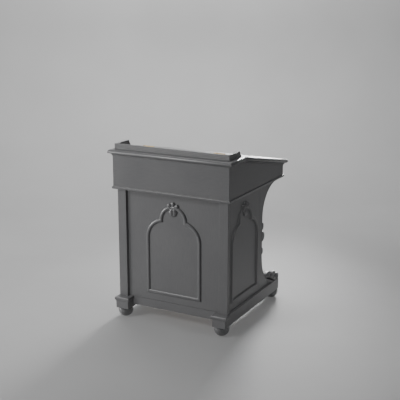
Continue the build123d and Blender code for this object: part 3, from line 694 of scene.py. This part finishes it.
def make_gallery_back():
    """The low back of the gallery: a reeded outer face under a flat top with eased edges."""
    low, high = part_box("gallery_back")
    tall = high.z - low.z
    reed, face = REED_TALL * tall, low.y + REED_SUNK
    section = [(face, low.z)]
    for i in range(REEDS):
        z = low.z + REED_FOOT * tall + (i + 0.5) * REED_STEP * reed
        section += [(face - REED_SUNK * math.cos(t), z + REED_HALF * reed * math.sin(t)) for t in REED_TURNS]
    top = high.z - GALLERY_EASE
    section += arc((low.y + GALLERY_EASE, top), GALLERY_EASE, 180, 90, 6)
    section += arc((high.y - GALLERY_EASE, top), GALLERY_EASE, 90, 0, 6) + [(high.y, low.z)]
    shell = Shell()
    rows = [[Vector((x, y, z)) for y, z in section] for x in (low.x, high.x)]
    shell.grid(rows, wrap_columns=True)
    for row in rows:
        shell.cap(row)
    shell.piece("gallery_back_reeded", "carcass", PAINTED["X"], "painted_wood", ["gallery_back"], GALLERY_SHARP)


# ---------------------------------------------------------------- brackets
WAIST_SPRING_Z = 462.0 * MM
WAIST_FOOT_Z = 270.0 * MM
HORN_TIP_Z = 613.0 * MM
SWEEP_R = 190.0 * MM
HORN_STEPS, SWEEP_STEPS = 30, 14
ROLL_R = 5.0 * MM
ROLL_TURNS = [math.radians(turn) for turn in range(180, -1, -20)]
BRACKET_SHARP = 32.0

# Steps across the front of a bracket, as (in from its side, depth) in mm: outside the roll, and inside it.
OUTER_STEPS = ((0.0, 13.0), (0.0, 12.2), (1.3, 11.2), (1.3, 9.6), (0.2, 7.2))
INNER_STEPS = ((0.4, 6.2), (1.8, 6.2), (2.6, 4.6))
MIDDLE_DEPTH = 3.4 * MM


def bracket_curve(horn_y, waist_y, heel_y):
    """(y, z) down the hollow front of a bracket, from the horn to the scroll."""
    horn = arc((horn_y, WAIST_SPRING_Z), (horn_y - waist_y, HORN_TIP_Z - WAIST_SPRING_Z), 90, 180, HORN_STEPS)
    drop = math.degrees(math.acos(1 - (heel_y - waist_y) / SWEEP_R))
    return horn + arc((waist_y + SWEEP_R, WAIST_FOOT_Z), SWEEP_R, 180, 180 + drop, SWEEP_STEPS)


def rolled_section(width):
    """(across, depth) over the front of a bracket: a roll at each arris with a quirk beside it."""
    half = [(across * MM, depth * MM) for across, depth in OUTER_STEPS]
    half += [(ROLL_R + ROLL_R * math.cos(turn), ROLL_R - ROLL_R * math.sin(turn)) for turn in ROLL_TURNS]
    half += [(2 * ROLL_R + across * MM, depth * MM) for across, depth in INNER_STEPS]
    return half + [(width / 2, MIDDLE_DEPTH)] + [(width - across, depth) for across, depth in reversed(half)]


def make_bracket(hand):
    """A board whose hollow front edge is rolled and quirked, with plain sides and back."""
    node = f"bracket_{hand}"
    low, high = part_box(node)
    waist_y, heel_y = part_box(f"bracket_carving_{hand}")[0].y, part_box(f"scroll_foot_{hand}")[0].y
    curve = bracket_curve(high.y, waist_y, heel_y)
    section = rolled_section(high.x - low.x)
    shell = Shell()
    rows = []
    for i, (y, z) in enumerate(curve):
        before, after = curve[max(i - 1, 0)], curve[min(i + 1, len(curve) - 1)]
        run = Vector((after[0] - before[0], after[1] - before[1])).normalized()
        inward = (run.y, -run.x) if i else (0.0, 1.0)
        rows.append([Vector((low.x + x, y + inward[0] * d, z + inward[1] * d)) for x, d in section])
    shell.grid(rows)
    toe_z = rows[-1][0].z
    back = [(heel_y, toe_z), (heel_y, low.z), (low.y, low.z), (low.y, high.z), (high.y, high.z)]
    shell.grid([[Vector((x, y, z)) for y, z in back] for x in (low.x, high.x)])
    for column, x in ((0, low.x), (-1, high.x)):
        shell.cap([row[column] for row in rows] + [Vector((x, y, z)) for y, z in back])
    shell.cap(rows[0] + [Vector((high.x, high.y, high.z)), Vector((low.x, high.y, high.z))])
    shell.cap(rows[-1] + [Vector((high.x, heel_y, toe_z)), Vector((low.x, heel_y, toe_z))])
    shell.piece(f"{node}_carved", "carcass", PAINTED["Z"], "painted_wood", [node], BRACKET_SHARP)


# ---------------------------------------------------------------- scroll feet
# Side view of the scroll as (y, z) in mm: the heel, three lobes as (crown, end), the slit and the volute's eye.
RUNNER_TOP = 100.0
HEEL_TOP = (150.0, 161.0)
LOBES = (((179.0, 168.0), (221.0, 150.0)), ((243.0, 155.0), (266.0, 132.6)), ((295.0, 126.1), (294.3, RUNNER_TOP)))
SLIT_BELOW = ((238.0, RUNNER_TOP), (205.0, 115.5), (163.0, 132.0))
SLIT_ABOVE = ((168.0, 140.0), (212.0, 124.5), (252.0, RUNNER_TOP))
VOLUTE = (276.0, 113.0)
HEEL_STEPS, LOBE_STEPS, SIDE_RINGS, CROWN_COLUMNS = 12, 16, 26, 37
SCROLL_SHARP = 42.0

# The scroll is narrower by FLARE at its heel and reaches the runner's width between two places along y, in mm.
FLARE = 9.0 * MM
FLARE_FROM, FLARE_RUN = 165.0, 80.0

# How deep the top is cut, in mm, across from the inner side (0) to the outer (1), and the fine leaf lines on it.
CROWN_DEPTH = ((0.0, 11.0), (0.10, 8.0), (0.26, 11.5), (0.42, 8.0), (0.58, 11.5), (0.80, 1.5), (0.92, 0.0), (1.0, 1.5))
LEAF_LINES, LEAF_SLANT, LEAF_CUT = 7, 5.0, 1.3

# The sides: a rolled rim, a hollow leaf inside it, partings between the lobes, and the coil of the volute, in mm.
RIM_CUT, RIM_WIDTH = 3.0, 0.10
HOLLOW_CUT, HOLLOW_WIDTH = 2.6, 0.62
PARTING_CUT, PARTING_WIDTH, PARTINGS = 4.5, 0.035, (0.46, 0.73)
COIL_CUT, COIL_PITCH, COIL_R, COIL_FADE = 2.4, 9.0, 22.0, 6.0


def bow(first, through, last, count):
    """Points on the circle through three points, from the first to the last."""
    (ax, ay), (bx, by), (cx, cy) = first, through, last
    a, b, c = ax * ax + ay * ay, bx * bx + by * by, cx * cx + cy * cy
    twice = 2 * (ax * (by - cy) + bx * (cy - ay) + cx * (ay - by))
    x = (a * (by - cy) + b * (cy - ay) + c * (ay - by)) / twice
    y = (a * (cx - bx) + b * (ax - cx) + c * (bx - ax)) / twice
    radius, start = math.hypot(ax - x, ay - y), math.atan2(ay - y, ax - x)
    sweep = (math.atan2(cy - y, cx - x) - start) % (2 * math.pi)
    if (math.atan2(by - y, bx - x) - start) % (2 * math.pi) > sweep:
        sweep -= 2 * math.pi
    turns = [start + sweep * i / (count - 1) for i in range(count)]
    return [(x + radius * math.cos(t), y + radius * math.sin(t)) for t in turns]


def clamp(share):
    return min(1.0, max(0.0, share))


def smooth(share):
    """An eased step from 0 to 1."""
    share = clamp(share)
    return share * share * (3 - 2 * share)


def between(table, share):
    """Reads a table of (place, value) with eased steps between its rows."""
    for (near, low), (far, high) in zip(table, table[1:]):
        if share <= far:
            return low + (high - low) * smooth((share - near) / (far - near))
    return table[-1][1]


def scroll_outline():
    """(y, z) in mm: up the heel, over the three lobes and down to the runner; then the slit, point for point."""
    heel_y, heel_z = HEEL_TOP
    rim = [(heel_y, RUNNER_TOP + (heel_z - RUNNER_TOP) * i / (HEEL_STEPS - 1)) for i in range(HEEL_STEPS)]
    start = HEEL_TOP
    for crown, end in LOBES:
        rim += bow(start, crown, end, LOBE_STEPS + 1)[1:]
        start = end
    slit = bow(*SLIT_BELOW, HEEL_STEPS) + bow(*SLIT_ABOVE, LOBE_STEPS * len(LOBES))
    return rim, slit


def flared(y):
    """How much narrower the scroll is at y (in mm) than the runner, in metres."""
    return FLARE * (1 - smooth((y - FLARE_FROM) / FLARE_RUN))


def side_depth(y, z, ring, place):
    """How far the carved side of the scroll is cut back, in mm: rolled rim, hollow leaf, parted lobes, volute."""
    rolled = RIM_CUT * (1 - math.sqrt(max(0.0, 1 - max(0.0, 1 - ring / RIM_WIDTH) ** 2)))
    leaf = HOLLOW_CUT * (0.5 - 0.5 * math.cos(2 * math.pi * clamp((ring - RIM_WIDTH) / HOLLOW_WIDTH)))
    parting = sum(PARTING_CUT * math.exp(-(((place - at) / PARTING_WIDTH) ** 2)) for at in PARTINGS)
    away, turn = math.hypot(y - VOLUTE[0], z - VOLUTE[1]), math.atan2(z - VOLUTE[1], y - VOLUTE[0])
    coil = COIL_CUT * (0.5 - 0.5 * math.cos(2 * math.pi * (away / COIL_PITCH + turn / (2 * math.pi))))
    near = smooth((COIL_R - away) / COIL_FADE)
    return near * coil + (1 - near) * (rolled + leaf + parting * (1 - 0.75 * ring))


def crown_line(rim, i, inner, outer, side):
    """One line of points across the carved top, from the inner side to the outer."""
    last = len(rim) - 1
    (y, z), before, after = rim[i], rim[max(i - 1, 0)], rim[min(i + 1, last)]
    run = Vector((after[0] - before[0], after[1] - before[1])).normalized()
    carved = smooth((i - HEEL_STEPS) / LOBE_STEPS)
    line = []
    for k in range(CROWN_COLUMNS):
        share = k / (CROWN_COLUMNS - 1)
        fine = abs(math.sin(LEAF_LINES * math.pi * share + LEAF_SLANT * i / last)) * min(1.0, 4 * (1 - share))
        cut = carved * (between(CROWN_DEPTH, share) + LEAF_CUT * fine)
        at_y, at_z = y + run.y * cut, z - run.x * cut
        wide = outer - side * flared(at_y)
        line.append(Vector((inner + (wide - inner) * share, at_y * MM, at_z * MM)))
    return line


def side_row(edge, slit, place, face, inwards, flares):
    """One row of points over a side of the scroll, from its edge in to the slit."""
    edge_y, edge_z = edge.y / MM, edge.z / MM
    row = [edge]
    for k in range(1, SIDE_RINGS + 1):
        ring = k / SIDE_RINGS
        y, z = edge_y + (slit[0] - edge_y) * ring, edge_z + (slit[1] - edge_z) * ring
        cut = side_depth(y, z, ring, place) * smooth(4 * ring + 0.2)
        back = flared(y) if flares else 0.0
        row.append(Vector((face + inwards * (back + cut * MM), y * MM, z * MM)))
    return row


def make_scroll_foot(hand, side):
    """A carved scroll on a runner: a heel against the bracket, three lobes, a slit and a volute at the toe."""
    node = f"scroll_foot_{hand}"
    low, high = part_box(node)
    outer, inner = (high.x, low.x) if side > 0 else (low.x, high.x)
    rim, slit = scroll_outline()
    crown, outer_side, inner_side = [], [], []
    for i in range(len(rim)):
        place = i / (len(rim) - 1)
        line = crown_line(rim, i, inner, outer, side)
        crown.append(line)
        outer_side.append(side_row(line[-1], slit[i], place, outer, -side, True))
        inner_side.append(side_row(line[0], slit[i], place, inner, side, False))
    shell = Shell()
    for rows in (crown, outer_side, inner_side):
        shell.grid(rows)
    shell.grid([[row[-1] for row in outer_side], [row[-1] for row in inner_side]])
    for i in (0, -1):
        shell.cap(outer_side[i] + inner_side[i][::-1] + crown[i][1:-1])
    shell.piece(f"{node}_carved", "carcass", PAINTED["Y"], "painted_wood", [node], SCROLL_SHARP)


# ---------------------------------------------------------------- feet
BALL_SWELL = 2.0 * MM
BALL_FULLNESS = 0.86
BALL_DROP = 1.0 * MM
BALL_STEPS, BALL_SPOKES = 64, 64
BALL_SHARP = 40.0
FLAT_LIFT, FLAT_EASE = 0.6 * MM, 1.2 * MM
RING_CUT, RING_WIDTH, RINGS_AT = 0.5 * MM, 0.022, (-0.30, 0.22)


def make_ball_foot(spot, hand):
    """A turned ball, a little full in the cheeks, with a flat under it and fine rings above and below its middle."""
    node = f"ball_foot_{spot}_{hand}"
    low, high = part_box(node)
    centre, radius = (low + high) / 2, (high.x - low.x) / 2
    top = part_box(f"runner_{hand}")[0].z
    middle_z = radius - BALL_DROP
    first = math.asin((low.z + FLAT_LIFT - middle_z) / radius)
    last = math.asin((top - middle_z) / radius)
    section = []
    for i in range(BALL_STEPS + 1):
        t = first + (last - first) * i / BALL_STEPS
        cut = sum(RING_CUT * math.exp(-(((t - at) / RING_WIDTH) ** 2)) for at in RINGS_AT)
        reach = (radius + BALL_SWELL - cut) * math.cos(t) ** BALL_FULLNESS
        section.append((reach, middle_z + (radius - cut) * math.sin(t)))
    section = [(0.0, low.z), (section[0][0] - FLAT_EASE, low.z)] + section + [(0.0, top)]
    spokes = [2 * math.pi * j / BALL_SPOKES for j in range(BALL_SPOKES)]
    shell = Shell()
    shell.grid([[Vector((centre.x + r * math.cos(t), centre.y + r * math.sin(t), z)) for t in spokes]
                for r, z in section], wrap_columns=True)
    shell.piece(f"{node}_turned", "carcass", POLISH, "turned_wood", [node], BALL_SHARP)


# ---------------------------------------------------------------- the whole desk
make_camera()
make_lights()
make_floor()
dress_cad_nodes()
for place, body in (("rear", "carcass"), ("side", "carcass"), ("door", "cupboard_door")):
    make_arch(f"{place}_arch_moulding", body)
    make_arch_carving(f"{place}_arch_carving", body)
for hand, side in SIDES.items():
    make_bracket(hand)
    make_bracket_carving(hand)
    make_scroll_foot(hand, side)
    make_runner_cap(hand)
    for spot in ("rear", "front"):
        make_ball_foot(spot, hand)
make_base_bead()
make_cornice_cove()
make_lid_bead()
make_gallery_back()
